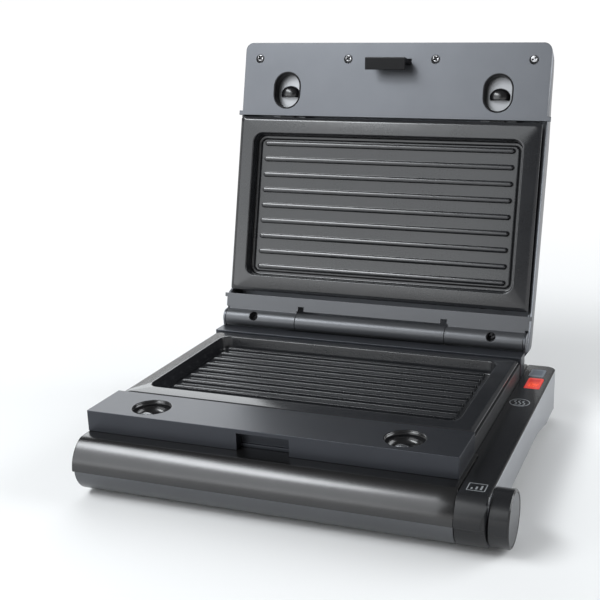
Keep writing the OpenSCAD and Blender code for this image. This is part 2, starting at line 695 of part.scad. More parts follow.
module lid_rear_panel() color(shell_grey) on_lid() difference() {
    union() {
        lid_box(-side_x, side_x, crest_n - panel_t, crest_n, barrel_r + 1.6, 22);
        for (side = [-1, 1]) {
            mirror([side > 0 ? 0 : 1, 0, 0]) {
                lid_box(side_x - 1.8, side_x + 2.2, crest_n - panel_t, crest_n, 18.5, 22);
                lid_box(carriage_w / 2 + 1.3, side_x - wall - fit, crest_n - panel_t, crest_n, 0,
                    barrel_r + 2);
                rod_x(carriage_w / 2 + fit, side_x - wall - fit, 0, 0, barrel_r);
            }
        }
    }
    rod_x(-side_x + 39, side_x - 39, 0, 0, pin_r + 0.06);
    for (side = [-1, 1]) {
        lid_pin(side * hinge_screw_x, hinge_screw_s, 1, 20, screw_r + 0.5);
        lid_pin(side * hinge_screw_x, hinge_screw_s, -20, 20, clear_r);
    }
}

module screw_head(x, s, n, r, h) difference() {
    lid_pin(x, s, n - h, n, r);
    lid_box(x - r * 0.62, x + r * 0.62, n - 0.9, n + 1, s - 0.5, s + 0.5);
    lid_box(x - 0.5, x + 0.5, n - 0.9, n + 1, s - r * 0.62, s + r * 0.62);
}

module panel_screws() color(steel) on_lid() for (x = screw_x) {
    screw_head(x, screw_s, -strip_drop - 0.05, screw_r, 1.6);
    lid_pin(x, screw_s, -24, -strip_drop - 1.5, thread_r);
}

module hinge_screws() color(steel) on_lid() for (side = [-1, 1]) {
    screw_head(side * hinge_screw_x, hinge_screw_s, 2.8, screw_r, 1.8);
    lid_pin(side * hinge_screw_x, hinge_screw_s, -20, 1.2, thread_r);
}

module upper_reflector() color(steel) in_lid() tray();
module upper_heating_element() color("#6b5f57") in_lid() heating_rod();
module upper_thermal_fuse() color("#d9d2c4") in_lid() thermal_fuse();

lug_s = upper_plate_s + upper_plate_d / 2 - lug_back;
tongue_n = crest_n - slot_under - slot_h + (slot_h - tongue_t) / 2;
catch_t = 1.5;
catch_n = -strip_drop - well_skirt - fit - catch_t;
riser_s = strip_s - 1.5;

// Steel catch that slides behind a finger well and shows as the well's floor
module upper_catch(side) color(steel) on_lid() {
    x = side * release_x;
    lid_box(x - 15.5, x + 15.5, catch_n, catch_n + catch_t, riser_s, well_s + 19);
    lid_box(x - tongue_x, x + tongue_x, catch_n, tongue_n + tongue_t, riser_s, riser_s + 2);
    lid_box(x - tongue_x, x + tongue_x, tongue_n, tongue_n + tongue_t, lug_s + 1, riser_s + 2);
}

module upper_catch_left() upper_catch(-1);
module upper_catch_right() upper_catch(1);

// Thumb bar fixed on the catch: arched on the side towards the lid's front edge
module upper_thumb(side) color("#3b3d42") on_lid() slab(catch_n + catch_t, catch_n + 7) intersection() {
    translate([side * release_x, well_s - 5]) circle(r = 9);
    translate([side * release_x - 9, well_s - 5]) square([18, 9]);
}

module upper_thumb_left() upper_thumb(-1);
module upper_thumb_right() upper_thumb(1);

module upper_spring(side) color(steel) on_lid()
    lid_spring(side * release_x, catch_n - 2.1, well_s - 6, well_s + 6);
module lid_spring(x, n, s0, s1) translate([x, -n, s0]) cylinder(r = 1.9, h = s1 - s0, $fn = 32);
module upper_spring_left() upper_spring(-1);
module upper_spring_right() upper_spring(1);

// ---------------------------------------------------------------- latch

module latch_hook() color("#2b2e33") on_lid() difference() {
    union() {
        rod_x(-hook_w / 2, hook_w / 2, -pivot_n, hook_s, pivot_r);
        lid_box(-hook_w / 2, hook_w / 2, pivot_n, hook_tip, hook_s - hook_t / 2, hook_s + hook_t / 2);
        lid_box(-hook_w / 2, hook_w / 2, hook_tip - lip_t, hook_tip, hook_s - hook_t / 2 - lip_l, hook_s);
        lid_box(-5, 5, pivot_n - 8, pivot_n, hook_s - hook_t / 2, hook_s + hook_t / 2);
    }
    rod_x(-hook_w, hook_w, -pivot_n, hook_s, 1.56);
}

module latch_pin() color(steel) on_lid() rod_x(-hook_w / 2 - 5.5, hook_w / 2 + 5.5, -pivot_n, hook_s, 1.5);
module latch_spring() color(steel) on_lid() lid_spring(0, pivot_n - 5.5, hook_s - 11.7, hook_s - 4.2);

base_casing();
bottom_cover();
base_screws();
front_feet();
rear_feet();
roll_shell();
roll_lower_shell();
front_bar();
rear_deck();
float_guides();
lower_reflector();
lower_heating_element();
lower_thermal_fuse();
terminal_block();
cord_gland();
arm_cover();
arm_lower_cover();
arm_wires();
lamp_holder();
indicator_lamps();
red_lens();
grey_lens();
thermostat();
thermostat_shaft();
knob();
knob_cap();
lower_grill_plate();
lower_release_left();
lower_release_right();
lower_spring_left();
lower_spring_right();
hinge_carriage();
hinge_pin();
lid_cover();
lid_front_panel();
lid_rear_panel();
panel_screws();
hinge_screws();
upper_reflector();
upper_heating_element();
upper_thermal_fuse();
upper_grill_plate();
upper_catch_left();
upper_catch_right();
upper_thumb_left();
upper_thumb_right();
upper_spring_left();
upper_spring_right();
latch_hook();
latch_pin();
latch_spring();
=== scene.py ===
import json
import math

import bmesh
import bpy
from mathutils import Matrix, Vector
from mathutils.bvhtree import BVHTree


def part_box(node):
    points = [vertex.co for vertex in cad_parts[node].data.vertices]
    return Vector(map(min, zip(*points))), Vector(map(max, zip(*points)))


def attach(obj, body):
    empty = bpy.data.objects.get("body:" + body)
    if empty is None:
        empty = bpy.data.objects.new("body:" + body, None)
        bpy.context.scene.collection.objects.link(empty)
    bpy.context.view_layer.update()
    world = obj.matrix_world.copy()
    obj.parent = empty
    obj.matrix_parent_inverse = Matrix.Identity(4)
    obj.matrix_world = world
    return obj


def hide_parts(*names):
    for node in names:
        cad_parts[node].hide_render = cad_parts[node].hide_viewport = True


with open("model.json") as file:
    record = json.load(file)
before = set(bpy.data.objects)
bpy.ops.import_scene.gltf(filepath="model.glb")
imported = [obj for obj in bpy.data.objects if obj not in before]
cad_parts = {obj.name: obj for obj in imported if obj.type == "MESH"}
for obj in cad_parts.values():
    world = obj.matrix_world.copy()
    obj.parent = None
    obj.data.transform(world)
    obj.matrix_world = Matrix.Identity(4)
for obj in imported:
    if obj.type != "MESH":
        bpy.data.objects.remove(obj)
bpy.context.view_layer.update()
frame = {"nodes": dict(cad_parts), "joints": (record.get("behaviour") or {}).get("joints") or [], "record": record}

MM = 0.001

# ---------------------------------------------------------------- base casing and bottom cover
# The black tub that stands under everything, and the vented plate screwed in below it. Both are
# moulded in glass-filled polymer with a fine spark-eroded texture.


class Wire:
    """One output of a shader node. Arithmetic on it adds Math nodes."""

    def __init__(self, finish, socket):
        self.finish = finish
        self.socket = socket

    def math(self, operation, first, second=0.0):
        return self.finish.node("Math", {"operation": operation}, {0: first, 1: second})

    def __add__(self, other):
        return self.math("ADD", self, other)

    __radd__ = __add__

    def __sub__(self, other):
        return self.math("SUBTRACT", self, other)

    def __rsub__(self, other):
        return self.math("SUBTRACT", other, self)

    def __mul__(self, other):
        return self.math("MULTIPLY", self, other)

    __rmul__ = __mul__

    def __abs__(self):
        return self.math("ABSOLUTE", self)

    def between(self, low, high):
        """0 below low and 1 above high, with a smooth step from one to the other."""
        return self.finish.node(
            "MapRange",
            {"interpolation_type": "SMOOTHSTEP"},
            {"Value": self, "From Min": low, "From Max": high},
        )


class Finish:
    """A material in the making: its shader, and one way to add any other node."""

    def __init__(self, name, **constants):
        self.material = bpy.data.materials.new(name)
        self.material.use_nodes = True
        self.tree = self.material.node_tree
        self.shader = self.tree.nodes["Principled BSDF"]
        self.set(**constants)
        self.place = self.node("TexCoord", output="Object")

    def plug(self, socket, value):
        if isinstance(value, Wire):
            self.tree.links.new(value.socket, socket)
        elif hasattr(value, "__len__") and len(value) == 3 and socket.type == "RGBA":
            socket.default_value = (*value, 1)
        else:
            socket.default_value = value

    def node(self, kind, settings=(), sockets=(), output=0):
        made = self.tree.nodes.new("ShaderNode" + kind)
        for key, value in dict(settings).items():
            setattr(made, key, value)
        for key, value in dict(sockets).items():
            self.plug(made.inputs[key], value)
        return Wire(self, made.outputs[output])

    def set(self, **values):
        """Sets the shader's own sockets: base_color is Base Color."""
        for key, value in values.items():
            self.plug(self.shader.inputs[key.replace("_", " ").title().replace("Ior", "IOR")], value)
        return self

    def noise(self, size, detail=3.0, stretch=(1, 1, 1)):
        """Cloudy noise from 0 to 1, with lumps about size metres across, longer where stretch is above 1."""
        place = self.node("VectorMath", {"operation": "DIVIDE"}, {0: self.place, 1: stretch})
        return self.node("TexNoise", (), {"Vector": place, "Scale": 1 / size, "Detail": detail})

    def blend(self, amount, first, second):
        """A colour from first to second, as amount goes from 0 to 1."""
        return self.node("Mix", {"data_type": "RGBA"}, {0: amount, 6: first, 7: second}, output=2)

    def bump(self, height, depth, strength=1.0):
        """Raises the surface by height, 0 to 1, times depth metres."""
        return self.set(
            normal=self.node("Bump", (), {"Strength": strength, "Distance": depth, "Height": height})
        )


def moulded_polymer(
    name, colour, roughness, grain=0.0004, depth=0.00003, spread=0.12, smudge=0.10, **constants
):
    """Polymer with a spark-eroded grain, faint clouds of colour and handling marks in its gloss."""
    finish = Finish(name, **constants)
    clouds = finish.noise(0.03)
    grains = finish.noise(grain, detail=2)
    darker = [c * (1 - spread) for c in colour]
    lighter = [c * (1 + spread) for c in colour]
    finish.set(
        base_color=finish.blend(clouds * 0.7 + grains * 0.3, darker, lighter),
        roughness=finish.noise(0.012, detail=5) * smudge + (roughness - smudge / 2),
    )
    return finish.bump(grains, depth).material


body_of = {node: body for body, nodes in frame["record"]["behaviour"]["bodies"].items() for node in nodes}
joint_of = {joint["name"]: joint for joint in frame["joints"]}


def piece_from(work, name, finish, node, body=None):
    """A new piece from a bmesh, shaded smoothly, with its finish, in the CAD node's body or the one named."""
    bmesh.ops.recalc_face_normals(work, faces=work.faces)
    mesh = bpy.data.meshes.new(name)
    work.to_mesh(mesh)
    work.free()
    mesh.polygons.foreach_set("use_smooth", [True] * len(mesh.polygons))
    mesh.materials.append(finish)
    piece = bpy.data.objects.new(name, mesh)
    bpy.context.scene.collection.objects.link(piece)
    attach(piece, body or body_of[node])
    return piece


def in_place_of(node, work, name, finish):
    """A new piece from a bmesh that is shown instead of a CAD node."""
    piece = piece_from(work, name, finish, node)
    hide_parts(node)
    return piece


def painted(piece, finish, where):
    """Gives the faces that where(face) chooses a finish of their own."""
    piece.data.materials.append(finish)
    last = len(piece.data.materials) - 1
    for face in piece.data.polygons:
        if where(face):
            face.material_index = last


def even_shading(piece):
    """Keeps flat faces flat in the shading, so that only the rounded edges catch light."""
    modifier = piece.modifiers.new("even_shading", "WEIGHTED_NORMAL")
    modifier.weight = 100
    modifier.keep_sharp = False
    return piece


def eased(node, finish, radius, steps=2, wide=0.0, pick=None):
    """The CAD node's shape with its edges rounded, and the edges that pick chooses rounded to wide first."""
    work = bmesh.new()
    work.from_mesh(frame["nodes"][node].data)
    bmesh.ops.remove_doubles(work, verts=work.verts, dist=2e-6)
    bmesh.ops.dissolve_limit(work, angle_limit=math.radians(0.5), verts=work.verts, edges=work.edges)

    def sharp(limit):
        """The edges at which two faces turn by more than limit degrees."""
        folds = [edge for edge in work.edges if len(edge.link_faces) == 2]
        return [edge for edge in folds if edge.calc_face_angle(0) > math.radians(limit)]

    def rounded(edges, offset, segments):
        bmesh.ops.bevel(
            work, geom=edges, offset=offset, segments=segments, profile=0.5, affect="EDGES",
            clamp_overlap=False,
        )

    if pick:
        rounded([edge for edge in sharp(40) if pick((edge.verts[0].co + edge.verts[1].co) / 2)], wide, 6)
    if radius:
        rounded(sharp(35), radius, steps)
    return even_shading(in_place_of(node, work, node + "_finished", finish))


black_polymer_and_painted_shade = moulded_polymer("black_polymer_and_painted_shade", (0.020, 0.0205, 0.022), 0.42)
eased("base_casing", black_polymer_and_painted_shade, 0.3 * MM, steps=1)
eased("bottom_cover", black_polymer_and_painted_shade, 0.0)

# ---------------------------------------------------------------- base screws and feet
# Four self-tapping pan-head screws hold the bottom cover, and four soft black rubber feet are pushed
# into their seats, each with a shallow ring moulded in its tread.


def turned(work, profile, place, around=48):
    """Adds a lathe-turned solid: profile holds (radius, height) from one end of its axis to the other."""
    angles = [math.tau * step / around for step in range(around)]
    rings = []
    for radius, height in profile:
        round_here = angles if radius > 1e-7 else angles[:1]
        points = [Vector((radius * math.cos(a), radius * math.sin(a), height)) for a in round_here]
        rings.append([work.verts.new(place @ point) for point in points])
    for low, high in zip(rings, rings[1:]):
        for step in range(around):
            after = (step + 1) % around
            first = [low[step % len(low)], low[after % len(low)]]
            second = [high[after % len(high)], high[step % len(high)]]
            work.faces.new(list(dict.fromkeys(first + second)))


def arc(centre, radius, start, end, steps):
    """Points on a round stretch, from start to end in degrees."""
    angles = [math.radians(start + (end - start) * step / steps) for step in range(steps + 1)]
    return [(centre[0] + radius * math.cos(a), centre[1] + radius * math.sin(a)) for a in angles]


def filleted(corners, steps):
    """The line through (a, b, radius) corners, with each corner rounded by an arc of its radius."""
    path = []
    for index, (a, b, radius) in enumerate(corners):
        here = Vector((a, b))
        if radius == 0:
            path.append(tuple(here))
            continue
        back = (Vector(corners[index - 1][:2]) - here).normalized()
        on = (Vector(corners[index + 1][:2]) - here).normalized()
        half = back.angle(on) / 2
        centre = here + (back + on).normalized() * radius / math.sin(half)
        first = here + back * radius / math.tan(half) - centre
        last = here + on * radius / math.tan(half) - centre
        start = math.degrees(math.atan2(first.y, first.x))
        turn = (math.degrees(math.atan2(last.y, last.x)) - start + 180) % 360 - 180
        path += arc(centre, radius, start, start + turn, steps)
    return path


def span(points):
    """The lowest and highest corner of the box round some points."""
    spread = [[point[axis] for point in points] for axis in range(3)]
    return Vector(map(min, spread)), Vector(map(max, spread))


def solids_of(node):
    """The lowest and highest corner of each separate solid in a CAD node."""
    work = bmesh.new()
    work.from_mesh(frame["nodes"][node].data)
    bmesh.ops.remove_doubles(work, verts=work.verts, dist=2e-6)
    left = set(work.verts)
    corners = []
    while left:
        reached = [left.pop()]
        for vert in reached:
            for edge in vert.link_edges:
                other = edge.other_vert(vert)
                if other in left:
                    left.discard(other)
                    reached.append(other)
        corners.append(span([vert.co for vert in reached]))
    work.free()
    return sorted(corners, key=lambda pair: tuple(pair[0]))


foot_rubber = moulded_polymer("foot_rubber", (0.018, 0.018, 0.018), 0.78, grain=0.0008, depth=0.00006)
for node in ("front_feet", "rear_feet"):
    work = bmesh.new()
    for low, high in solids_of(node):
        radius = (high.x - low.x) / 2
        tall = high.z - low.z
        place = Matrix.Translation(((low.x + high.x) / 2, (low.y + high.y) / 2, low.z))
        tread = [(0, 0.5 * MM, 0), (radius * 0.42, 0.5 * MM, 0.2 * MM), (radius * 0.5, 0, 0.4 * MM)]
        wall = [(radius, 0, 0.8 * MM), (radius, tall, 0.3 * MM), (0, tall, 0)]
        turned(work, filleted(tread + wall, 3), place)
    in_place_of(node, work, node + "_rubber", foot_rubber)


def metal(name, colour, roughness, scratch=(1, 1, 1), tint=None):
    """Bare or plated metal: fine scratches along scratch, and soft clouds in its gloss and its tint."""
    finish = Finish(name, metallic=1.0)
    scratches = finish.noise(0.0006, detail=4, stretch=scratch)
    clouds = finish.noise(0.02, detail=4)
    dull = [c * 0.82 for c in colour]
    finish.set(
        base_color=finish.blend(clouds, dull, tint or colour),
        roughness=scratches * 0.12 + clouds * 0.08 + (roughness - 0.10),
    )
    return finish.bump(scratches, 0.000004).material


zinc_plate = metal("zinc_plate", (0.40, 0.40, 0.41), 0.30)
# Black oxide plating for the hinge screws; the same finish is the painted shade in screw recesses and seats.
black_oxide_and_painted_shade = metal("black_oxide_and_painted_shade", (0.035, 0.035, 0.037), 0.42)


def cut_from(piece, cutter, finish):
    """Cuts a bmesh out of a piece for good. The cut faces get the finish."""
    bmesh.ops.recalc_face_normals(cutter, faces=cutter.faces)
    mesh = bpy.data.meshes.new("cutter")
    cutter.to_mesh(mesh)
    cutter.free()
    mesh.materials.append(finish)
    tool = bpy.data.objects.new("cutter", mesh)
    bpy.context.scene.collection.objects.link(tool)
    modifier = piece.modifiers.new("cut", "BOOLEAN")
    modifier.operation = "DIFFERENCE"
    modifier.solver = "EXACT"
    modifier.use_self = True
    modifier.material_mode = "TRANSFER"
    modifier.object = tool
    seen = bpy.context.evaluated_depsgraph_get()
    cut = bpy.data.meshes.new_from_object(piece.evaluated_get(seen))
    piece.modifiers.clear()
    piece.data = cut
    bpy.data.objects.remove(tool)


def screw_driven(name, node, heads, radius, rise, plating):
    """Pan-head screws with a cross recess, one at each (place, length) of heads, with +Z out of the head."""
    work = bmesh.new()
    for place, length in heads:
        core = radius * 0.41
        shank = [(0, -length), (radius * 0.2, -length), (core, -length + radius * 0.4), (core, 0)]
        dome = [(radius, 0, 0), (radius, rise * 0.45, rise * 0.35)]
        crown = [(radius * 0.72, rise, radius * 0.25), (0, rise, 0)]
        turned(work, shank + filleted(dome + crown, 5), place, around=40)
    piece = in_place_of(node, work, name, plating)
    cutter = bmesh.new()
    for place, length in heads:
        for turn in (35, 125):
            wedge = bmesh.ops.create_cube(cutter, size=1)["verts"]
            for vert in wedge:
                deep = vert.co.z < 0
                reach = math.copysign(radius * (0.38 if deep else 0.76), vert.co.x)
                across = math.copysign(radius * 0.20, vert.co.y)
                shaped = Vector((reach, across, rise * (0.1 if deep else 1.3)))
                vert.co = place @ (Matrix.Rotation(math.radians(turn), 4, "Z") @ shaped)
    # The recess faces get the near-black finish: painted shade inside the cross.
    cut_from(piece, cutter, black_oxide_and_painted_shade)


facing_down = Matrix.Rotation(math.pi, 4, "X")
head_radius = 3.5 * MM
least_head = 6 * MM
base_heads = []
for low, high in solids_of("base_screws"):
    if high.x - low.x > least_head:
        seat = Matrix.Translation(((low.x + high.x) / 2, (low.y + high.y) / 2, high.z))
        base_heads.append((seat @ facing_down, 14 * MM))
screw_driven("base_screws_driven", "base_screws", base_heads, head_radius, 1.6 * MM, zinc_plate)

# ---------------------------------------------------------------- lower and upper roll shells
# The round front is two long mouldings that meet in a stepped seam, clipped to the casing. Both wear a
# dark metallic lacquer, which reads as anodised metal. The lower shell's lacquer is lighter: painted light
# for the brighter reflection along the underside of the roll.


def inward(path):
    """The inward normal at each point of a path that turns left as it goes."""
    normals = []
    for index in range(len(path)):
        before = Vector(path[max(index - 1, 0)])
        after = Vector(path[min(index + 1, len(path) - 1)])
        along = (after - before).normalized()
        normals.append(Vector((-along.y, along.x)))
    return normals


quarter = [math.radians(15 * step) for step in range(7)]


def skin_along_x(work, path, start, end, edge, corner=None, closed_end=False):
    """A moulded skin through a (y, z) path, with a rounded cap at start, and one at end if it is closed."""
    normals = inward(path)
    for index, (y, z) in enumerate(path):
        # The step at the seam draws in sideways, as the wall above it does.
        if abs(z - roll_axis.z) < 1 * MM and y < roll_axis.y:
            normals[index] = Vector((1, 0))
    stations = [(start + edge * (1 - math.cos(turn)), edge * (1 - math.sin(turn))) for turn in quarter]
    last = end - edge if closed_end else end
    stations += [(start + edge + (last - start - edge) * step / 24, 0) for step in range(1, 25)]
    if closed_end:
        stations += [(last + edge * math.sin(turn), edge * (1 - math.cos(turn))) for turn in quarter[1:]]
    rings = []
    for x, inset in stations:
        points = [Vector(point) + normal * inset for point, normal in zip(path, normals)]
        rings.append([work.verts.new((x, *point)) for point in points])
    for low, high in zip(rings, rings[1:]):
        for index in range(len(path) - 1):
            work.faces.new((low[index], low[index + 1], high[index + 1], high[index]))
    for ring, wanted, x in ((rings[0], True, start), (rings[-1], closed_end, end)):
        if wanted:
            extra = [work.verts.new((x, *corner))] if corner else []
            work.faces.new(ring + extra)


def solid_wall(piece, thickness):
    """Gives a skin its wall thickness, inwards."""
    modifier = piece.modifiers.new("wall", "SOLIDIFY")
    modifier.thickness = thickness
    modifier.offset = -1
    return piece


def lacquer(name, colour, roughness, metallic, **constants):
    """Smooth lacquer over a moulding, with metal flake as far as metallic says."""
    return moulded_polymer(
        name, colour, roughness, depth=0.0000015, smudge=0.03, metallic=metallic, **constants
    )


grey_lacquer = lacquer("grey_lacquer", (0.068, 0.068, 0.069), 0.25, 0.92)
# Lighter than the upper shell's lacquer: painted light for the reflection along the roll's underside.
lower_roll_lacquer_painted_light = lacquer("lower_roll_lacquer_painted_light", (0.125, 0.129, 0.136), 0.30, 0.92)
skin = 2.0 * MM
cap_edge = 1.2 * MM
roll_axis = Vector(joint_of["knob_turn"]["pos_m"])
roll_low, roll_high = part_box("roll_shell")
roll_radius = roll_axis.y - roll_low.y
# The roll runs into its flat top by an arc of another radius, which meets it 60 degrees up from the front.
meet = math.radians(60)
blend_radius = (roll_high.z - roll_axis.z - roll_radius * math.sin(meet)) / (1 - math.sin(meet))
blend_centre = (roll_axis.y - (roll_radius - blend_radius) * math.cos(meet), roll_high.z - blend_radius)
upper_path = (
    [(roll_high.y, roll_high.z)]
    + arc(blend_centre, blend_radius, 90, 120, 8)
    + arc(roll_axis.yz, roll_radius, 120, 178, 28)[1:]
    + filleted(
        [
            (roll_axis.y - roll_radius, roll_axis.z + 0.8 * MM, 0),
            (roll_axis.y - roll_radius, roll_axis.z, 0.45 * MM),
            (roll_axis.y - roll_radius + skin, roll_axis.z, 0),
        ],
        4,
    )
)
work = bmesh.new()
skin_along_x(work, upper_path, roll_low.x, roll_high.x, cap_edge, corner=(roll_high.y, roll_axis.z))
roll_top = in_place_of("roll_shell", work, "roll_shell_lacquered", grey_lacquer)
even_shading(solid_wall(roll_top, skin))

lower_low, lower_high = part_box("roll_lower_shell")
lower_radius = roll_axis.y - lower_low.y
lower_path = arc(roll_axis.yz, lower_radius, 180, 270, 32) + filleted(
    [
        (roll_axis.y, lower_low.z, 0),
        (lower_high.y, lower_low.z, 1.5 * MM),
        (lower_high.y, roll_axis.z - 0.1 * MM, 0),
    ],
    4,
)[1:]
work = bmesh.new()
skin_along_x(work, lower_path, lower_low.x, lower_high.x, cap_edge, closed_end=True)
roll_bottom = in_place_of("roll_lower_shell", work, "roll_lower_shell_lacquered", lower_roll_lacquer_painted_light)
even_shading(solid_wall(roll_bottom, skin))

# ---------------------------------------------------------------- front bar and rear deck
# Two satin mouldings close the base in front of the plate and behind it. The front bar has a dish for
# a fingertip over each plate release, and the notch that takes the lip of the lid's hook. The floating
# hinge's guides are black polymer.

bar_lacquer = lacquer("bar_lacquer", (0.040, 0.043, 0.051), 0.36, 0.65)
gloss_black = moulded_polymer("gloss_black", (0.010, 0.010, 0.011), 0.24, coat_weight=0.15, depth=0.000004)
bar_low, bar_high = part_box("front_bar")
release_x = 97 * MM
dish_places = [Vector((side * release_x, -105.5 * MM)) for side in (-1, 1)]
dish_radius = 14 * MM


def from_dish(point):
    """Distance of a point, seen from above, to the middle of the nearer release dish."""
    return min((point.xy - place).length for place in dish_places)


front_bar = eased(
    "front_bar", bar_lacquer, 0.35 * MM, wide=1.1 * MM,
    pick=lambda point: point.z > bar_high.z - 0.1 * MM and abs(from_dish(point) - dish_radius) < 0.3 * MM,
)
painted(
    front_bar, gloss_black,
    lambda face: from_dish(face.center) < dish_radius + 0.9 * MM and face.center.z < bar_high.z - 0.05 * MM,
)
bowl = [
    (0, -9.0 * MM, 0),
    (dish_radius - 0.05 * MM, -9.0 * MM, 5.5 * MM),
    (dish_radius - 0.05 * MM, -1.0 * MM, 0),
    (dish_radius + 0.4 * MM, -1.0 * MM, 0),
    (dish_radius + 0.4 * MM, -9.4 * MM, 6.0 * MM),
    (0, -9.4 * MM, 0),
]
work = bmesh.new()
for place in dish_places:
    turned(work, filleted(bowl, 8), Matrix.Translation((*place, bar_high.z)), around=72)
piece_from(work, "release_dish_bowls", gloss_black, "front_bar")
eased("rear_deck", bar_lacquer, 0.5 * MM)
eased("float_guides", black_polymer_and_painted_shade, 0.0)

# ---------------------------------------------------------------- trays, heating rods and fuses
# A pressed steel tray under each plate reflects the heat of a sheathed rod, heat-tinted in use, with a
# thermal fuse by it. The electrical parts are white ceramic, and the shaft and pins are spring steel.

tray_steel = metal("tray_steel", (0.55, 0.55, 0.56), 0.34, scratch=(12, 1, 1))
rod_steel = metal("rod_steel", (0.20, 0.16, 0.14), 0.45, tint=(0.30, 0.24, 0.19))
white_ceramic = moulded_polymer("white_ceramic", (0.72, 0.70, 0.64), 0.45, depth=0.00001)
spring_steel = metal("spring_steel", (0.5, 0.5, 0.52), 0.3)
for node in ("lower_reflector", "upper_reflector"):
    eased(node, tray_steel, 0.0)
for node in ("lower_heating_element", "upper_heating_element"):
    eased(node, rod_steel, 0.0)
for node in ("lower_thermal_fuse", "upper_thermal_fuse", "terminal_block", "lamp_holder", "thermostat"):
    eased(node, white_ceramic, 0.4 * MM)
for node in ("thermostat_shaft", "hinge_pin", "latch_pin"):
    eased(node, spring_steel, 0.3 * MM)

# ---------------------------------------------------------------- side arm
# The arm on the right carries the lamps and ends in the thermostat's knob. Its polymer cover is black
# above and lacquered a lighter grey on its outer side, partly two-tone paint and partly painted light for
# the light that falls on that side, and a black cover snaps in below it.

arm_black = lacquer("arm_black", (0.012, 0.0125, 0.014), 0.24, 0.0, specular_ior_level=0.4)
arm_side_painted_light = lacquer("arm_side_painted_light", (0.32, 0.33, 0.35), 0.36, 0.85)
arm_low, arm_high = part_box("arm_cover")
arm_cover = eased(
    "arm_cover", arm_black, 0.35 * MM, wide=1.6 * MM,
    pick=lambda point: point.x > arm_high.x - 0.1 * MM,
)
# The outer side's lighter grey is partly painted light, for the light that falls on that side.
painted(arm_cover, arm_side_painted_light, lambda face: face.center.x > arm_high.x - 0.3 * MM)
eased("arm_lower_cover", black_polymer_and_painted_shade, 0.3 * MM)
eased("cord_gland", foot_rubber, 0.6 * MM)
wire_sleeve = moulded_polymer("wire_sleeve", (0.42, 0.05, 0.03), 0.5)
eased("arm_wires", wire_sleeve, 0.0)


def lens_finish(name, node, rim, window, glow=(0, 0, 0), rim_glow=0.0):
    """Translucent polymer over a lamp: a frosted rim, a darker window and a glow towards its front."""
    finish = Finish(name, roughness=0.16, specular_ior_level=0.35, emission_strength=1.0)
    low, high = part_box(node)
    x = finish.node("SeparateXYZ", (), {"Vector": finish.place})
    y = finish.node("SeparateXYZ", (), {"Vector": finish.place}, output=1)
    half_x = (high.x - low.x) / 2
    half_y = (high.y - low.y) / 2
    beside = abs(x - (low.x + high.x) / 2).between(half_x - 2.6 * MM, half_x - 1.4 * MM)
    beyond = abs(y - (low.y + high.y) / 2).between(half_y - 4.2 * MM, half_y - 2.4 * MM)
    inside = (1 - beside) * (1 - beyond)
    frost = finish.noise(0.0012, detail=3)
    lit = inside * (1 - (y - low.y).between(half_y * 0.7, half_y * 1.5)) * frost.between(0.25, 0.75)
    finish.set(
        base_color=finish.blend(inside, rim, window),
        emission_color=finish.blend(lit, [c * rim_glow for c in rim], glow),
    )
    return finish.bump(frost, 0.00001, 0.6).material


red_glow = lens_finish(
    "red_glow", "red_lens", rim=(0.62, 0.045, 0.035), window=(0.42, 0.006, 0.005), glow=(0.80, 0.12, 0.03),
    rim_glow=0.30,
)
smoke_lens = lens_finish("smoke_lens", "grey_lens", rim=(0.16, 0.18, 0.21), window=(0.10, 0.12, 0.15))
eased("red_lens", red_glow, 0.5 * MM, steps=3)
eased("grey_lens", smoke_lens, 0.5 * MM, steps=3)
eased("indicator_lamps", red_glow, 0.0)

# ---------------------------------------------------------------- printed marks on the arm
# Two plain marks in grey ink, pad-printed on the arm's top: heat waves in a ring by the lenses, and
# rising bars in a square by the knob.

ink = moulded_polymer("grey_ink", (0.22, 0.23, 0.24), 0.5, spread=0.3)
arm_surface = BVHTree.FromObject(arm_cover, bpy.context.evaluated_depsgraph_get())


def printed_line(work, points, width):
    """A ribbon of ink through (x, y) points, laid on the arm from above."""
    rows = []
    for point, aside in zip(points, inward(points)):
        row = []
        for side in (-0.5, 0.5):
            above = Vector((*(Vector(point) + aside * width * side), 0.1))
            hit = arm_surface.ray_cast(above, Vector((0, 0, -1)))[0]
            row.append(work.verts.new(hit + Vector((0, 0, 0.03 * MM))))
        rows.append(row)
    for first, second in zip(rows, rows[1:]):
        work.faces.new((first[0], first[1], second[1], second[0]))


def straight(first, last):
    """Points in metres on the line between two points in millimetres."""
    start, end = Vector(first) * MM, Vector(last) * MM
    return [tuple(start.lerp(end, step / 8)) for step in range(9)]


work = bmesh.new()
ring_x, ring_y = 149.5 * MM, 26.4 * MM
printed_line(work, arc((ring_x, ring_y), 7.6 * MM, 0, 360, 48), 0.8 * MM)
for shift in (-3.2 * MM, 0, 3.2 * MM):
    wave = []
    for step in range(13):
        sway = 1.1 * MM * math.sin(step * math.tau / 12)
        wave.append((ring_x + shift + sway, ring_y + (8.4 * step / 12 - 4.2) * MM))
    printed_line(work, wave, 0.9 * MM)
printed_line(work, straight((145.2, 20.6), (153.8, 20.6)), 0.8 * MM)
corners = [(146.6, -134.0), (158.4, -134.0), (158.4, -123.6), (146.6, -123.6)]
for first, last in zip(corners, corners[1:] + corners[:1]):
    printed_line(work, straight(first, last), 0.7 * MM)
for x, top in ((149.4, -129.8), (152.5, -127.9), (155.6, -126.0)):
    printed_line(work, straight((x, -132.2), (x, top)), 1.3 * MM)
piece_from(work, "arm_marks", ink, "arm_cover")

# ---------------------------------------------------------------- knob
# A round black moulding with a chamfered rim, pressed on the thermostat's shaft. A grey lacquered disc
# is let into its end.

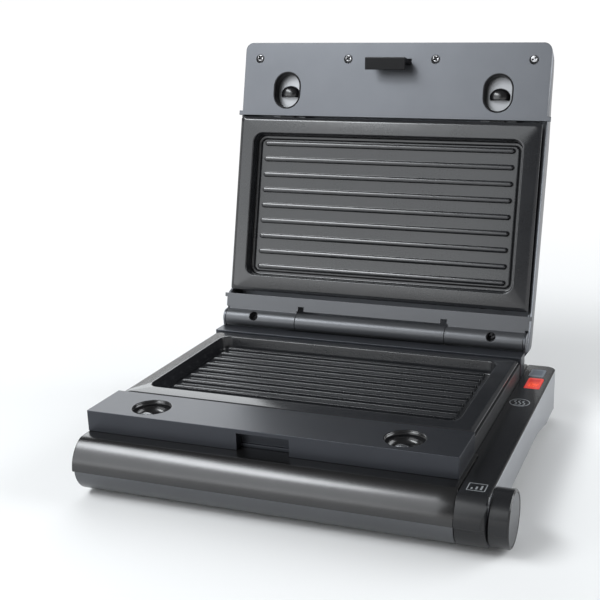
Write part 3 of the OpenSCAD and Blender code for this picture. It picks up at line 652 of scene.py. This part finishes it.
knob_low, knob_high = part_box("knob")
knob_radius = (knob_high.z - knob_low.z) / 2
chamfer = 0.9 * MM
lip = 2.0 * MM
disc_depth = 1.2 * MM
hollow_depth = 3 * MM
knob_profile = [
    (0, knob_low.x + hollow_depth, 0),
    (knob_radius - 2.2 * MM, knob_low.x + hollow_depth, 0.3 * MM),
    (knob_radius - 2.2 * MM, knob_low.x, 0.2 * MM),
    (knob_radius, knob_low.x, 0.5 * MM),
    (knob_radius, knob_high.x - chamfer, 0.4 * MM),
    (knob_radius - chamfer, knob_high.x, 0.3 * MM),
    (knob_radius - lip, knob_high.x, 0.25 * MM),
    (knob_radius - lip, knob_high.x - disc_depth, 0),
    (0, knob_high.x - disc_depth, 0),
]
work = bmesh.new()
along_x = Matrix.Translation((0, roll_axis.y, roll_axis.z)) @ Matrix.Rotation(math.pi / 2, 4, "Y")
turned(work, filleted(knob_profile, 4), along_x, around=128)
even_shading(in_place_of("knob", work, "knob_moulded", arm_black))
disc_lacquer = lacquer("disc_lacquer", (0.13, 0.133, 0.14), 0.38, 0.8)
eased("knob_cap", disc_lacquer, 0.25 * MM)

# ---------------------------------------------------------------- grill plates
# Two die-cast aluminium plates with a non-stick coat: a flange slopes up to a rounded crest, the pan's
# wall drops from it to a drain channel, and nine ribs stand on the floor inside the channel.

coat = Finish("nonstick_coat", specular_ior_level=0.6)
speckle = coat.noise(0.0007, detail=2)
haze = coat.noise(0.035, detail=5)
coat.set(
    base_color=coat.blend(haze * 0.6 + speckle * 0.4, (0.009, 0.0095, 0.011), (0.024, 0.025, 0.028)),
    roughness=haze * 0.06 + speckle * 0.04 + 0.12,
)
nonstick_coat = coat.bump(speckle, 0.00002).material

flange = 12.8 * MM
crest_drop = 2.5 * MM
edge_thick = 2 * MM
pan = 10 * MM
underside = pan + 3.9 * MM
channel = 1.5 * MM
floor_from = flange + 7.5 * MM
rib_rise = 3 * MM
rib_pitch = 14 * MM
rib_count = 9
rim = [
    (24 * MM, -underside, 0),
    (11.9 * MM, -underside, 1.2 * MM),
    (11.9 * MM, -crest_drop - edge_thick, 0.8 * MM),
    (0, -crest_drop - edge_thick, 0.5 * MM),
    (0, -crest_drop, 0.6 * MM),
    (2.6 * MM, -0.95 * MM, 4 * MM),
    (flange + 0.6 * MM, 0, 1.2 * MM),
    (flange + 1.6 * MM, 0, 0.9 * MM),
    (flange + 2.6 * MM, -pan - channel, 1.4 * MM),
    (flange + 5.6 * MM, -pan - channel, 1.0 * MM),
    (flange + 6.2 * MM, -pan, 1.0 * MM),
    (floor_from, -pan, 0),
]
rib_side = filleted(
    [
        (0, rib_rise, 0),
        (0.45 * MM, rib_rise, 2 * MM),
        (1.75 * MM, rib_rise - 0.4 * MM, 0.4 * MM),
        (1.95 * MM, 0, 0.7 * MM),
        (3.0 * MM, 0, 0),
    ],
    4,
)


def rib_height(across, along_end):
    """Height of a rib's surface at a distance beside it and past the middle of its round end."""
    away = math.hypot(across, max(along_end, 0))
    for (near, high), (far, low) in zip(rib_side, rib_side[1:]):
        if near <= away <= far and far > near:
            return high + (low - high) * (away - near) / (far - near)
    return 0 if away > rib_side[-1][0] else rib_rise


def cast_plate(name, node, place, width, depth, front):
    """One plate: rings that follow its rim's section, round a grid that rises into ribs. Front is -1 or 1."""
    work = bmesh.new()
    inner_x = width / 2 - floor_from
    inner_y = depth / 2 - floor_from
    rib_end = inner_x - 4.4 * MM
    ends = sorted({round(rib_end + away, 7) for away, _ in rib_side} | {round(inner_x, 7)})
    corner_x = len(ends) - 1
    between_ends = [rib_end * step / 9 for step in range(-8, 9)]
    xs = [-x for x in reversed(ends)] + between_ends + ends
    ys = {-inner_y, inner_y}
    for index in range(rib_count):
        centre = (index - (rib_count - 1) / 2) * rib_pitch
        ys |= {round(centre + sign * away, 7) for away, _ in rib_side for sign in (-1, 1)}
    ys = sorted(y for y in ys if abs(y) <= inner_y)
    corner_y = sum(1 for y in ys if y > inner_y - 4.5 * MM) - 1

    def height(x, y):
        """How far the nearest rib stands up at (x, y)."""
        index = min(max(round(y / rib_pitch + (rib_count - 1) / 2), 0), rib_count - 1)
        return rib_height(abs(y - (index - (rib_count - 1) / 2) * rib_pitch), abs(x) - rib_end)

    grid = [[work.verts.new((x, y, -pan + height(x, y))) for y in ys] for x in xs]
    for left, right in zip(grid, grid[1:]):
        for index in range(len(ys) - 1):
            work.faces.new((left[index], right[index], right[index + 1], left[index + 1]))
    last_x = len(xs) - 1
    last_y = len(ys) - 1
    border = [(i, 0) for i in range(last_x)] + [(last_x, j) for j in range(last_y)]
    border += [(i, last_y) for i in range(last_x, 0, -1)] + [(0, j) for j in range(last_y, 0, -1)]

    def ring_point(i, j, offset):
        """The border point (i, j) moved out to the rounded rectangle at offset from the plate's edge."""
        half_x = width / 2 - offset
        half_y = depth / 2 - offset
        wall_at = flange + 1.5 * MM
        # The corners widen from 2.5 mm at the edge to 9 mm at the pan's wall, and close up again inside it.
        radius = 2.5 * MM + min(offset / wall_at, 1) * 6.5 * MM - max(offset - wall_at, 0)
        side_x = -1 if i <= corner_x else (1 if i >= last_x - corner_x else 0)
        side_y = -1 if j <= corner_y else (1 if j >= last_y - corner_y else 0)
        if side_x and side_y:
            to_x = corner_x - (i if side_x < 0 else last_x - i)
            to_y = corner_y - (j if side_y < 0 else last_y - j)
            angle = math.pi / 2 * (to_x + corner_y - to_y) / (corner_x + corner_y)
            out_x = half_x - radius + radius * math.sin(angle)
            out_y = half_y - radius + radius * math.cos(angle)
            return side_x * out_x, side_y * out_y
        if side_y or j in (0, last_y):
            return xs[i], half_y if j > last_y / 2 else -half_y
        return half_x if i > last_x / 2 else -half_x, ys[j]

    ring = [grid[i][j] for i, j in border]
    for offset, level in reversed(filleted(rim, 4)[:-1]):
        outer = [work.verts.new((*ring_point(i, j, offset), level)) for i, j in border]
        for index in range(len(border)):
            after = (index + 1) % len(border)
            work.faces.new((ring[index], ring[after], outer[after], outer[index]))
        ring = outer
    work.faces.new(ring)
    for side in (-1, 1):
        add_lug(work, side * release_x, front * (depth / 2 - 4.4 * MM))
    work.transform(place)
    in_place_of(node, work, name, nonstick_coat)


def add_lug(work, x, y):
    """The slotted lug under a plate's flange that the release's tongue holds."""
    outside = [(-9, -4), (9, -4), (9, -15.5), (-9, -15.5)]
    slot = [(-7, -11.3), (7, -11.3), (7, -14.1), (-7, -14.1)]
    loops = []
    for thick, outline in ((-1.5, outside), (-1.5, slot), (1.5, slot), (1.5, outside)):
        loops.append([work.verts.new((x + a * MM, y + thick * MM, z * MM)) for a, z in outline])
    for first, second in zip(loops, loops[1:] + loops[:1]):
        for index in range(4):
            work.faces.new((first[index], first[index - 1], second[index - 1], second[index]))


lower_low, lower_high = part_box("lower_grill_plate")
cast_plate(
    "lower_grill_plate_cast", "lower_grill_plate", Matrix.Translation((0, 0, lower_high.z)),
    lower_high.x - lower_low.x, lower_high.y - lower_low.y, -1,
)

# The lid's own frame: its origin is on the hinge, -Y out of the cooking side and Z to its front edge.
hinge = joint_of["lid_hinge"]
lean = math.radians(hinge["range_deg"][1] - 90)
lid_place = Matrix.Translation(hinge["pos_m"]) @ Matrix.Rotation(-lean, 4, "X")


def in_lid(point):
    """A point's place in the lid's own frame."""
    return lid_place.inverted() @ point


def lid_span(node):
    """The lowest and highest corner of a CAD node in the lid's own frame."""
    return span([in_lid(vert.co) for vert in frame["nodes"][node].data.vertices])


upper_low, upper_high = lid_span("upper_grill_plate")
upper_place = (
    lid_place
    @ Matrix.Translation((0, upper_low.y, (upper_low.z + upper_high.z) / 2))
    @ Matrix.Rotation(math.pi / 2, 4, "X")
)
cast_plate(
    "upper_grill_plate_cast", "upper_grill_plate", upper_place,
    upper_high.x - upper_low.x, upper_high.z - upper_low.z, 1,
)

# ---------------------------------------------------------------- plate releases
# Each release is a sliding catch with a thumb piece: grey polymer in the base's dishes, and a black bar
# on a bright steel catch in the lid's finger wells, painted black below the wells' floor as painted shade.
# Coil springs push them home.

# The releases' own grey, also used as a painted highlight on the latch hook's top.
thumb_grey_and_painted_highlight = moulded_polymer("thumb_grey_and_painted_highlight", (0.11, 0.113, 0.12), 0.25, metallic=0.5, depth=0.000004)
catch_steel = metal("catch_steel", (0.27, 0.275, 0.285), 0.40)
painted_shade_below = 191 * MM


def thumb_bar(name, node):
    """The domed bar on a lid catch, cut off flat on the side towards the hinge."""
    low, high = lid_span(node)
    reach = Vector(((high.x - low.x) / 2, (high.y - low.y), (high.z - low.z) * 0.85))
    crown = high.z + 1.6 * MM - reach.z
    work = bmesh.new()
    rings = []
    for step in range(13):
        tilt = math.radians(7.5 * step)
        ring = []
        for turn in range(48):
            angle = math.tau * turn / 48
            x = (low.x + high.x) / 2 + reach.x * math.sin(tilt) * math.cos(angle)
            s = max(crown + reach.z * math.sin(tilt) * math.sin(angle), low.z)
            ring.append(work.verts.new((x, high.y - reach.y * math.cos(tilt), s)))
        rings.append(ring)
    for inner, outer in zip(rings, rings[1:]):
        for turn in range(48):
            after = (turn + 1) % 48
            work.faces.new((inner[turn], inner[after], outer[after], outer[turn]))
    work.faces.new(rings[-1])
    bmesh.ops.remove_doubles(work, verts=work.verts, dist=0.01 * MM)
    work.transform(lid_place)
    in_place_of(node, work, name, gloss_black)


spring_turns = 7


def coil_spring(node, place, low, high, spare=0.0):
    """A coil of wire in the place of a CAD spring, which starts spare metres past its low end."""
    size = high - low
    along = max(range(3), key=lambda axis: size[axis])
    first, second = [axis for axis in range(3) if axis != along]
    wire = 0.35 * MM
    radius = min(size[first], size[second]) / 2 - wire
    length = size[along] - spare - 2 * wire
    steps = spring_turns * 24
    ahead = Vector((0, 0, 0))
    ahead[along] = 1
    work = bmesh.new()
    rings = []
    for step in range(steps + 1):
        angle = math.tau * step / 24
        centre = (low + high) / 2
        centre[along] = low[along] + spare + wire + length * step / steps
        outward = Vector((0, 0, 0))
        outward[first], outward[second] = math.cos(angle), math.sin(angle)
        ring = []
        for turn in range(8):
            lift = math.tau * turn / 8
            out = outward * (radius + wire * math.cos(lift)) + ahead * wire * math.sin(lift)
            ring.append(work.verts.new(centre + out))
        rings.append(ring)
    for ring, after in zip(rings, rings[1:]):
        for turn in range(8):
            work.faces.new((ring[turn], ring[turn - 1], after[turn - 1], after[turn]))
    work.faces.new(rings[0])
    work.faces.new(rings[-1])
    work.transform(place)
    in_place_of(node, work, node + "_coil", spring_steel)


for side in ("left", "right"):
    eased(f"lower_release_{side}", thumb_grey_and_painted_highlight, 0.9 * MM, steps=4)
    travel = joint_of[f"base_release_{side}_slide"]["range_m"][1]
    coil_spring(f"lower_spring_{side}", Matrix(), *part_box(f"lower_spring_{side}"), spare=travel + 0.2 * MM)
    catch = eased(f"upper_catch_{side}", catch_steel, 0.2 * MM)
    # Painted shade: the steel catch is painted black below the wells' floor, where it lies in shade.
    painted(catch, black_polymer_and_painted_shade, lambda face: in_lid(face.center).z < painted_shade_below)
    thumb_bar(f"upper_thumb_{side}_domed", f"upper_thumb_{side}")
    coil_spring(f"upper_spring_{side}", lid_place, *lid_span(f"upper_spring_{side}"))

# ---------------------------------------------------------------- floating hinge
# The middle of the barrel is one lacquered moulding with the blade that rides in the base's guides. It
# turns round a steel pin.

hinge_lacquer = lacquer("hinge_lacquer", (0.095, 0.098, 0.105), 0.38, 0.6)
eased("hinge_carriage", hinge_lacquer, 0.35 * MM)

# ---------------------------------------------------------------- lid
# The cover is a deep lacquered moulding with a rounded back. A front panel with the finger wells is
# screwed on across its front edge, and a rear panel with the outer thirds of the barrel above the hinge.

lid_lacquer = lacquer("lid_lacquer", (0.108, 0.113, 0.124), 0.38, 0.85)
cover_low, cover_high = lid_span("lid_cover")
cover_side = cover_high.x
back_corners = [
    (9.3, 251.0, 0),
    (22, 246.4, 15),
    (27, 242.4, 10),
    (30, 229.1, 60),
    (30, 207.5, 150),
    (35.7, 170.1, 250),
    (30.9, 44.7, 500),
    (28.8, 18.7, 300),
    (28.2, 1.4, 50),
    (25.4, -8.9, 7),
    (16.5, -11.5, 40),
    (-1.7, -14.2, 0),
]
back_line = filleted([(depth * MM, s * MM, radius * MM) for depth, s, radius in back_corners], 6)
front_line = [(-6, -5), (1.3, 5), (1.3, 22.6), (6.5, 26), (6.5, 185.5), (9.3, 185.5)]
cover_edge = 7 * MM
flat_x = cover_side - cover_edge
top_draw = Vector((0, -1))
foot_draw = Vector((-0.423, 0.906))


def share(depth, start, end):
    """How far a depth in metres has come from start to end in millimetres, from 0 to 1."""
    return min(max((depth / MM - start) / (end - start), 0), 1)


work = bmesh.new()
outline = []
for (depth, s), outward in zip(back_line, inward(back_line)):
    # The side's rounding draws in against the back's normal, and turns to a draw of its own at either end.
    to_top = share(depth, back_corners[1][0], back_corners[0][0]) if s > 200 * MM else 0
    to_foot = share(depth, back_corners[-2][0], back_corners[-1][0]) if s < 0 else 0
    draw = (-outward).lerp(top_draw, to_top).lerp(foot_draw, to_foot).normalized()
    half = []
    for turn in quarter:
        inset = draw * cover_edge * (1 - math.cos(turn))
        half.append((flat_x + cover_edge * math.sin(turn), depth + inset.x, s + inset.y))
    across = [(-x, *seat) for x, *seat in reversed(half)]
    across += [(flat_x * step / 8, *half[0][1:]) for step in range(-7, 8)] + half
    outline.append([work.verts.new(point) for point in across])
for first, second in zip(outline, outline[1:]):
    for index in range(len(first) - 1):
        work.faces.new((first[index], first[index + 1], second[index + 1], second[index]))
for end, sign in ((0, -1), (-1, 1)):
    front = [work.verts.new((sign * cover_side, depth * MM, s * MM)) for depth, s in front_line]
    work.faces.new([row[end] for row in outline] + front)
work.transform(lid_place)
cover = in_place_of("lid_cover", work, "lid_cover_moulded", lid_lacquer)
solid_wall(cover, 2.4 * MM)


def lid_block(work, centre, size):
    """Adds a block in the lid's own frame, for cutting."""
    for vert in bmesh.ops.create_cube(work, size=1)["verts"]:
        vert.co = lid_place @ (Vector(centre) + Vector(vert.co[axis] * size[axis] for axis in range(3)))


carriage_room = bmesh.new()
lid_block(carriage_room, (0, -3 * MM, -5.3 * MM), (140.6 * MM, 34 * MM, 29.4 * MM))
cut_from(cover, carriage_room, lid_lacquer)
barrel_radius = 8.3 * MM
barrel_end = [
    (0, cover_side - 2.5 * MM, 0),
    (barrel_radius, cover_side - 2.5 * MM, 0.2 * MM),
    (barrel_radius, cover_side - 0.2 * MM, 0.8 * MM),
    (0, cover_side - 0.2 * MM, 0),
]
work = bmesh.new()
for side in (-1, 1):
    turned(work, filleted(barrel_end, 5), lid_place @ Matrix.Rotation(side * math.pi / 2, 4, "Y"))
piece_from(work, "lid_cover_barrel_ends", lid_lacquer, "lid_cover")

eased("lid_front_panel", lid_lacquer, 0.3 * MM)
rear_panel = eased("lid_rear_panel", hinge_lacquer, 0.35 * MM)
notches = bmesh.new()
for side in (-1, 1):
    lid_block(notches, (side * 66.4 * MM, 0, 10.2 * MM), (5.6 * MM, 12 * MM, 8 * MM))
# The notches' cut faces are black: painted shade inside them.
cut_from(rear_panel, notches, black_polymer_and_painted_shade)
even_shading(rear_panel)

latch_black = moulded_polymer("latch_black", (0.008, 0.008, 0.009), 0.45, specular_ior_level=0.15)
well_s = 208.6 * MM
well_radius = 13 * MM
well_half = 3.5 * MM


def well_liner(name, x):
    """The black liner of a finger well: a wall with a rounded rim that stands in the panel's opening."""
    outside = [(0.03 * MM, 15.4 * MM, 0), (0.03 * MM, 6.3 * MM, 0.3 * MM)]
    section = filleted(outside + [(1.3 * MM, 6.3 * MM, 0.5 * MM), (1.5 * MM, 15.4 * MM, 0)], 4)
    work = bmesh.new()
    rings = []
    for turn in range(72):
        angle = math.tau * turn / 72
        middle = well_s + (well_half if turn <= 36 else -well_half)
        ring = []
        for inset, depth in section:
            reach = well_radius - inset
            across = x + reach * math.cos(angle)
            ring.append(work.verts.new((across, depth, middle + reach * math.sin(angle))))
        rings.append(ring)
    for first, second in zip(rings, rings[1:] + rings[:1]):
        for index in range(len(section)):
            work.faces.new((first[index - 1], second[index - 1], second[index], first[index]))
    work.transform(lid_place)
    piece_from(work, name, latch_black, "bottom_cover", body="lid")


well_liner("finger_well_liner_left", -release_x)
well_liner("finger_well_liner_right", release_x)

out_of_lid = Matrix.Rotation(math.pi / 2, 4, "X")
seat_shadow_radius = 4.2 * MM
for node, rise, crown, plating in (
    ("panel_screws", 1.6 * MM, 6.55 * MM, zinc_plate),
    ("hinge_screws", 1.8 * MM, -2.8 * MM, black_oxide_and_painted_shade),
):
    heads = []
    for low, high in solids_of(node):
        if high.x - low.x > least_head:
            centre = in_lid((low + high) / 2)
            seat = Matrix.Translation((centre.x, crown + rise, centre.z))
            heads.append((lid_place @ seat @ out_of_lid, 12 * MM))
    screw_driven(f"{node}_driven", node, heads, head_radius, rise, plating)
    # A thin black ring round each head, standing just proud: a painted shadow in the screw's seat.
    below = rise - 0.3 * MM
    above = rise + 0.02 * MM
    seat_painted_shadow = [(head_radius, below), (head_radius, above), (seat_shadow_radius, above), (seat_shadow_radius, below)]
    work = bmesh.new()
    for place, _ in heads:
        turned(work, seat_painted_shadow + seat_painted_shadow[:1], place)
    piece_from(work, f"{node}_seat_shadows", black_oxide_and_painted_shade, node)

# ---------------------------------------------------------------- latch hook
# A wide hook in black polymer turns on a steel pin below the lid's front edge. A spring holds its lip
# under the rim of the bar's notch when the lid is shut. Its upward faces are painted grey: a painted
# highlight along its top.

hook_face = lid_span("latch_hook")[0].y
hook_points = [in_lid(vert.co) for vert in frame["nodes"]["latch_hook"].data.vertices]
brow = max(point.z for point in hook_points if point.y < hook_face + 0.1 * MM)


def on_hook_brow(point):
    """True on the long edge at the top of the hook's face."""
    seat = in_lid(point)
    return seat.y < hook_face + 0.1 * MM and seat.z > brow - 0.1 * MM


latch_hook = eased("latch_hook", latch_black, 0.3 * MM, wide=1.7 * MM, pick=on_hook_brow)
face_slope = 0.22
for vert in latch_hook.data.vertices:
    seat = in_lid(vert.co)
    if seat.y < hook_face + 0.5 * MM:
        seat.y += (brow - seat.z) * face_slope
        vert.co = lid_place @ seat
# Painted highlight: the hook's upward faces get a lighter grey for the light along its top.
painted(latch_hook, thumb_grey_and_painted_highlight, lambda face: face.normal.z > 0.45)
coil_spring("latch_spring", lid_place, *lid_span("latch_spring"))

# ---------------------------------------------------------------- camera, floor and light
# A pale table, four soft boxes and a camera at the height and distance of a person who stands in
# front of the grill and a little to its right.

camera_place = Vector((0.2900, -0.7317, 0.3418))
yaw = math.radians(19.371)
pitch = math.radians(17.544)
roll = math.radians(-0.867)
forward = Vector((-math.sin(yaw) * math.cos(pitch), math.cos(yaw) * math.cos(pitch), -math.sin(pitch)))
level = Vector((math.cos(yaw), math.sin(yaw), 0))
upright = level.cross(forward)
right = level * math.cos(roll) + upright * math.sin(roll)
up = upright * math.cos(roll) - level * math.sin(roll)
camera = bpy.data.objects.new("camera", bpy.data.cameras.new("camera"))
camera.data.lens = 63.10
camera.data.sensor_width = 36
picture_px = 600
camera.data.shift_x = -65.5 / picture_px
camera.data.shift_y = 33.05 / picture_px
camera.matrix_world = Matrix.Translation(camera_place) @ Matrix((right, up, -forward)).transposed().to_4x4()
bpy.context.scene.collection.objects.link(camera)
bpy.context.scene.camera = camera

floor_radius = 60
floor_rim = 14
work = bmesh.new()
turned(work, [(0, 0), (floor_radius, 0), (floor_radius, floor_rim)], Matrix(), around=96)
floor_mesh = bpy.data.meshes.new("floor")
work.to_mesh(floor_mesh)
work.free()
floor = bpy.data.objects.new("floor", floor_mesh)
bpy.context.scene.collection.objects.link(floor)
paper = Finish("floor_paper", roughness=0.9, emission_strength=1.0)
away = paper.node("VectorMath", {"operation": "LENGTH"}, {0: paper.place}, output=1)
looked_at = paper.node("LightPath", output="Is Camera Ray") + paper.node("LightPath", output="Is Glossy Ray")
looked_at = looked_at + paper.node("LightPath", output="Is Transmission Ray")
far = away.between(0.35, 1.2) * looked_at.between(0.1, 0.9)
paper.set(
    base_color=paper.blend(far, (0.82, 0.82, 0.82), (0, 0, 0)),
    emission_color=paper.blend(far, (0, 0, 0), (1, 1, 1)),
)
paper.material.cycles.emission_sampling = "NONE"
floor_mesh.materials.append(paper.material)


def soft_box(name, centre, target, width, height, power):
    """A rectangular area light at centre that faces target."""
    light = bpy.data.lights.new(name, "AREA")
    light.shape = "RECTANGLE"
    light.size = width
    light.size_y = height
    light.energy = power
    light.color = (0.95, 0.98, 1.0)
    lamp = bpy.data.objects.new(name, light)
    lamp.location = centre
    lamp.rotation_euler = (Vector(target) - Vector(centre)).to_track_quat("-Z", "Y").to_euler()
    bpy.context.scene.collection.objects.link(lamp)


soft_box("front_box", (-0.82, -1.36, 0.88), (0, -0.1, 0.05), 1.6, 1.6, 17)
soft_box("strip_box", (-0.80, -0.72, 1.40), (0, -0.13, 0.05), 1.1, 0.40, 18)
soft_box("back_box", (-0.82, 1.3, 0.9), (0, 0, 0.1), 1.6, 0.8, 14)
soft_box("right_box", (1.3, 0.5, 0.75), (0, 0, 0.1), 1.2, 0.9, 18)
world = bpy.data.worlds.new("room")
world.use_nodes = True
background = world.node_tree.nodes["Background"]
background.inputs["Color"].default_value = (1, 1, 1, 1)
background.inputs["Strength"].default_value = 0.16
bpy.context.scene.world = world
bpy.context.scene.view_settings.view_transform = "Standard"
